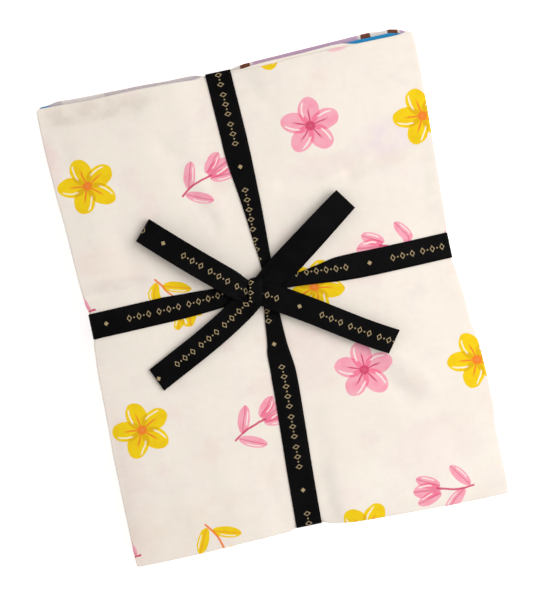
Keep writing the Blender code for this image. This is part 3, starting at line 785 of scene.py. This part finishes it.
def hemmed(path, table, edge):
    # Across a run: the width beyond the tuck lies flat, and the rest turns under it. A hyperbola rounds the fold.
    onTop = path[:, 1] > stack["height"] / 2
    tuck = np.where(onTop, smoothTable(path[:, 0], table), 0)
    tuck = np.maximum(tuck, hem["least"])[:, None]
    share = np.array(hem["columns"])
    m = np.where(share < 0, share * tuck, share * (ribbon["width"] - tuck))
    tight = np.minimum(tuck / 3, 1)
    rho = hem["round"] * tight + 0.01
    curve = np.hypot(m, rho)
    fit = np.minimum(1, (ribbon["width"] - tuck - hem["spare"]) / tuck)
    side = edge * (ribbon["width"] / 2 - tuck - np.where(m < 0, fit, 1) * (curve - rho))
    lift = ribbon["gap"] * tight * 0.5 * (1 + m / curve)
    return side, lift, edge * (ribbon["width"] / 2 - (m + tuck))


def printPlace(run, path, aloneAt, near=70):
    # Place in the printed repeat along a run. A lone mark falls on a given place of each leg, and what is over is
    # evened out further than near from both, where it can't be seen.
    index, onTop = np.arange(len(path)), path[:, 1] > stack["height"] / 2
    outward = index < len(path) / 2
    legs = index[onTop & outward], index[onTop & ~outward]
    first, last = (run[leg[np.argmin(np.abs(path[leg, 0] - at))]] for leg, at in zip(legs, aloneAt))
    gap = last - first
    over = round(gap / ribbon["pitch"]) * ribbon["pitch"] - gap
    return run - first + marks["alone"] + over * np.clip((run - first - near) / (gap - 2 * near), 0, 1)


# aside is the way that the ribbon's width goes, start is near the knot, where a run's two ends meet, and aloneAt has
# the places of a lone mark on both legs.
wraps = {
    "lengthwise": {
        "aside": (1, 0), "edge": -1, "start": 11.0, "tied": "tiedY", "tuck": tuckLong, "aloneAt": (81.4, -115.8),
    },
    "crosswise": {
        "aside": (0, 1), "edge": 1, "start": -6.0, "tied": "tiedX", "tuck": tuckCross, "aloneAt": (62.2, -100.7),
    },
}


def addWrap(way, spot, top, bottom):
    # A run round the stack: each place of its path, plus the hem's profile across it
    wrap = wraps[way]
    path = wrapPath(spot, stack[wrap["tied"]], wrap["start"], top, bottom)
    side, lift, across = hemmed(path, wrap["tuck"], wrap["edge"])
    x, y = spot(path[:, :1])
    points = np.stack([x + side * wrap["aside"][0], y + side * wrap["aside"][1], path[:, 1:] + lift], 2)
    grids = points[:, ::-1], printPlace(runAlong(points), path, wrap["aloneAt"]), across[:, ::-1]
    addRibbon(f"ribbon_wrap_{way}", f"ribbon_{way}", grids)


def addWraps():
    # The crosswise run passes over the lengthwise one on top. Beneath, the lengthwise one hangs no lower than 0.85.
    above = ribbon["above"] + ribbon["thick"] / 2
    addWrap(
        "lengthwise", lambda s: (longLine(s), s), lambda x, y: topside(x, y) + above,
        lambda x, y: np.minimum(underside(x, y) - above, 0.85),
    )
    addWrap(
        "crosswise", lambda s: (s, crossLine(s)),
        lambda x, y: topside(x, y) + above + ribbon["crossOver"] * bell(x - longLine(y), ribbon["crossReach"]),
        lambda x, y: underside(x, y) - above,
    )


# bow
knot = {
    "at": (-11.7, 9.0), "turn": -11.9, "wide": 7.4, "long": 9.8, "high": 3.3, "foot": 2.9, "square": 2.6,
    "arc": (-168, 128), "farShort": 0.68, "turnAt": (-13.9, 2.4), "turnHigh": 0.72, "turnWay": (0.80, -0.60),
    "pleats": 2.4, "pleatHigh": 0.14, "calm": 0.4, "calmTo": 0.35, "cup": -1.1, "slant": 4.4,
    "fold": -0.16, "opened": -0.80, "opensFrom": 0.80, "foldGap": 0.55, "foldRound": 0.25, "phase": 55,
}
turn = np.radians(knot["turn"])
knotAcross, knotAlong = np.array([np.cos(turn), np.sin(turn)]), np.array([-np.sin(turn), np.cos(turn)])
knotAt = np.array(knot["at"])
edgeDense = 0.92  # the nearer to 1, the closer together a strip's columns are at its edges


def crossColumns(count=19):  # places across a strip from -1 to 1, by a sine
    return np.sin(np.linspace(-1, 1, count) * np.pi / 2 * edgeDense) / np.sin(np.pi / 2 * edgeDense)


def band(centre, across, half, pleat, pleats, cup=0.0, slant=0.0, fold=None):
    # A strip about a middle line: centre + across x half width x w + normal x (pleats + cupping) + tangent x slant x
    # w. What lies beyond the fold's w turns under the rest.
    w = crossColumns()[None, :, None]
    tangent = np.gradient(centre, axis=0)
    tangent /= np.linalg.norm(tangent, axis=1, keepdims=True)
    across = across / np.linalg.norm(across, axis=1, keepdims=True)
    normal = np.cross(tangent, across)
    normal /= np.linalg.norm(normal, axis=1, keepdims=True)
    half, pleat, cup, slant = (np.broadcast_to(v, len(centre))[:, None, None] for v in (half, pleat, cup, slant))
    side, rise = w, pleat * np.cos(np.pi * pleats * w + 0.6) * (1 - 0.25 * w**2) + cup * w**2
    if fold is not None:
        beyond = (w - fold[:, None, None]) * half
        curve = np.hypot(beyond, knot["foldRound"])
        side = fold[:, None, None] + (curve - knot["foldRound"]) / half
        rise = rise - knot["foldGap"] / 2 * (1 - beyond / curve)
    return centre[:, None] + across[:, None] * half * side + normal[:, None] * rise + tangent[:, None] * (slant * w)


def addStrip(name, node, points, phase, direction, restsOn, held):
    # phase is the place of the strip's root in the printed repeat
    grids = points, phase + direction * runAlong(points), crossColumns() * ribbon["width"] / 2
    addRibbon(name, node, grids)


def addStrap():
    # The strap over the bow's middle: a superellipse in the plane of its length, open at the near side, where it turns
    # down into the left tail
    angle = np.radians(np.linspace(*knot["arc"], 60))
    out, up = (np.sign(v) * np.abs(v) ** (2 / knot["square"]) for v in (np.cos(angle), np.sin(angle)))
    level = topside(*knotAt) + knot["foot"] + knot["high"]
    plan = knotAt + knotAlong * (out * knot["long"] * np.where(out > 0, knot["farShort"], 1))[:, None]
    ring = np.column_stack([plan, level + up * knot["high"]])
    # the last stretch bears left, to where the tail starts
    t = np.linspace(0, 1, 9)[1:, None]
    goal = np.array([*knot["turnAt"], level + knot["turnHigh"] * knot["high"]])
    centre = np.concatenate([ring, ring[-1] + (goal - ring[-1]) * t])
    start, end = np.array([*knotAcross, 0]), np.array([*knot["turnWay"], 0])
    across = np.concatenate([np.tile(start, (len(ring), 1)), start * (1 - t) + end * t])
    share = np.linspace(0, 1, len(centre))
    pleat = knot["pleatHigh"] * np.where(share < knot["calmTo"], knot["calm"], 1)
    unfold = np.clip((share - knot["opensFrom"]) / (1 - knot["opensFrom"]), 0, 1)
    fold = knot["fold"] + (knot["opened"] - knot["fold"]) * unfold**1.5
    points = band(centre, across, knot["wide"], pleat, knot["pleats"], cup=knot["cup"], fold=fold)
    # its far edge slants, lower on the left
    reach = (points[:, :, :2] - knotAt) @ knotAlong / knot["long"]
    slide = knot["slant"] * np.clip(reach, 0, 1) * crossColumns()[None, :]
    points[:, :, :2] += slide[:, :, None] * knotAlong
    addStrip("ribbon_strap", "ribbon_knot", points, knot["phase"], -1, "ribbon_wrap_crosswise", "folded")


# The bow's strips go from root to tip. bend is how far the middle line bows to its own left, edge is the way across
# the gathered root, and heights are above the cloth, at even steps from the root.
strip = {"pleat": 0.35, "pleats": 2.6, "opensOver": 0.26, "cup": 0.2}
tail = {"pleats": 2.2, "opensOver": 0.14, "cup": -0.25, "waves": 5.2, "dense": 1.15, "roll": 0.05, "skew": 0.7}
tails = {
    "left": {
        "root": (-13.2, 3.2), "tip": (-77.8, -32.6), "bend": 1.0, "wave": 0.4,
        "heights": (8.1, 6.2, 5.3, 4.9, 4.5, 4.0, 3.4, 2.8, 2.3, 2.0), "edge": (0.80, -0.60),
        "square": (0.48, -0.877), "rootHalf": 7.5, "pleat": 0.5, "phase": 60, "direction": -1,
    },
    "right": {
        "root": (-8.6, 7.4), "tip": (66.3, -38.4), "bend": -0.6, "wave": 0.8,
        "heights": (6.8, 7.4, 7.7, 7.4, 7.1, 6.8, 6.5, 6.1, 5.6, 5.1), "edge": (0.40, 0.92),
        "square": (0.521, 0.853), "rootHalf": 6.9, "pleat": 0.45, "phase": 49.5, "direction": 1,
    },
}
# A loop goes out as its under leaf and comes back as its over one. splay and aside move the under leaf.
loops = {
    "left": {
        "root": (-11.4, 6.1), "tip": (-67.6, 57.3), "bend": 0.8, "splay": -0.2,
        "under": (4.4, 4.3, 3.9, 3.3, 2.7, 2.2, 1.8), "over": (6.6, 8.0, 8.9, 9.0, 8.6, 7.8, 6.8),
        "edge": (0.206, 0.978), "rootHalf": 7.2, "aside": 0.0, "phase": 72.7, "roll": 0.05,
    },
    "right": {
        "root": (-7.9, 7.2), "tip": (55.0, 50.6), "bend": 0.2, "splay": -0.6,
        "under": (3.9, 4.2, 4.0, 3.5, 2.9, 2.3, 1.8), "over": (5.4, 5.9, 7.0, 8.0, 8.3, 7.8, 6.8),
        "edge": (-0.15, 0.989), "rootHalf": 7.4, "aside": -1.8, "phase": 14, "roll": -0.04,
    },
}


def stripWays(values):  # the root, the step to the tip, its length, and the ways along and to the left
    root = np.array(values["root"])
    reach = np.array(values["tip"]) - root
    length = np.linalg.norm(reach)
    way = reach / length
    return root, reach, length, way, np.array([-way[1], way[0]])


def stripLine(root, reach, left, t, sideways, heights):
    # A middle line: a straight one from the root, moved sideways, at its heights above the cloth
    plan = root + reach * t[:, None] + left * sideways[:, None]
    return np.column_stack([plan, topside(*plan.T) + heights])


def opening(values, share, over, square, roll):
    # A strip leaves the knot gathered and askew. It opens to its full width, square to its line, by a smoothstep.
    opened = eased(share / over)[:, None]
    across = np.column_stack([np.array(values["edge"]) * (1 - opened) + np.array(square) * opened, roll])
    half = values["rootHalf"] + (ribbon["width"] / 2 - values["rootHalf"]) * opened[:, 0]
    return across, half, 1 - opened[:, 0]


def addTails():
    # The middle line bows in a parabola with a slight wave, and the cut end is a little askew.
    for side, values in tails.items():
        root, reach, length, way, left = stripWays(values)
        t = np.linspace(0, 1, 46) ** tail["dense"]
        sideways = values["bend"] * 4 * t * (1 - t) + values["wave"] * np.sin(t * tail["waves"])
        centre = stripLine(root, reach, left, t, sideways, smoothRun(t, values["heights"]))
        roll = tail["roll"] * np.sin(3 * t)
        across, half, gathered = opening(values, t, tail["opensOver"], values["square"], roll)
        pleat, cup = values["pleat"] * gathered, tail["cup"] * (1 - t)
        points = band(centre, across, half, pleat, tail["pleats"], cup=cup, slant=tail["skew"] * t**6)
        names, marked = (f"ribbon_end_{side}", f"ribbon_tail_{side}"), (values["phase"], values["direction"])
        addStrip(*names, points, *marked, "cotton_quarter_8", "laid")


def addLoops():
    # Two leaves, each bowed in a parabola, joined at the tip by half a circle
    for side, values in loops.items():
        root, reach, length, way, left = stripWays(values)
        radius = (values["over"][-1] - values["under"][-1]) / 2
        end = 1 - radius / length
        t = np.linspace(0, end, 34)
        under, over = (
            stripLine(root, reach, left, t, bend * 4 * t * (1 - t) + aside * (1 - t), smoothRun(t / end, heights))
            for bend, aside, heights in (
                (values["bend"] + values["splay"], values["aside"], values["under"]),
                (values["bend"], 0.0, values["over"]),
            )
        )
        angle = np.linspace(-np.pi / 2, np.pi / 2, 15)[1:-1, None]
        rim = (under[-1] + over[-1]) / 2 + radius * np.hstack([way * np.cos(angle), np.sin(angle)])
        centre = np.concatenate([under, rim, over[::-1]])
        share = np.concatenate([t, np.full(len(rim), end), t[::-1]])
        square = left * np.sign(left @ np.array(values["edge"]))
        roll = np.sin(np.pi * share)
        across, half, gathered = opening(values, share, strip["opensOver"], square, values["roll"] * roll)
        points = band(centre, across, half, strip["pleat"] * gathered, strip["pleats"], cup=strip["cup"] * roll)
        names = f"ribbon_loop_{side}", f"bow_loop_{side}"
        addStrip(*names, points, values["phase"], 1, "cotton_quarter_8", "folded")


addQuarters()
blackRibbon = ribbonFinish()
addWraps()
addStrap()
addTails()
addLoops()


# floor and light
light = {
    "world": 0.48, "key": (7.25, (0.53, 0.0, 0.87), 0.85), "fill": (1.0, (-0.9, -0.3, 1.1), 1.2),
    "floor": rgb(253, 253, 253), "glow": 0.6,
}


def addFloor():
    finish = Finish(
        "paleFloor", 0.9, Specular_IOR_Level=0.1, Emission_Color=(1, 1, 1, 1), Emission_Strength=light["glow"],
    )
    place = finish.node("TexCoord", output=3)
    grain = finish.node("TexNoise", None, {"Vector": place, "Scale": 40.0})
    finish.feed("Base Color", finish.mix(grain, light["floor"], tuple(c * 0.99 for c in light["floor"])))
    mesh = bpy.data.meshes.new("floor")
    mesh.from_pydata([(-4, -4, 0), (4, -4, 0), (4, 4, 0), (-4, 4, 0)], [], [(0, 1, 2, 3)])
    mesh.materials.append(finish.material)
    addObject("floor", mesh)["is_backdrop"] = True


def addLamp(name, power, at, size):
    data = bpy.data.lights.new(name, "AREA")
    data.energy, data.size = power, size
    lamp = addObject(name, data)
    lamp.location = at
    lamp.rotation_euler = (-Vector(at)).to_track_quat("-Z", "Y").to_euler()


def addLight():
    world = bpy.data.worlds.new("studio")
    world.use_nodes = True
    for socket, value in (("Color", (1, 1, 1, 1)), ("Strength", light["world"])):
        world.node_tree.nodes["Background"].inputs[socket].default_value = value
    bpy.context.scene.world = world
    for name in ("key", "fill"):
        addLamp(name, *light[name])
    bpy.context.scene.view_settings.view_transform = "Standard"
    print("floor and light")


addFloor()
addLight()

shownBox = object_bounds()
for label, (low, high) in (("solids", solidBox), ("shown", shownBox)):
    print(label, [round((b - a) * 1000, 1) for a, b in zip(low, high)], "mm")
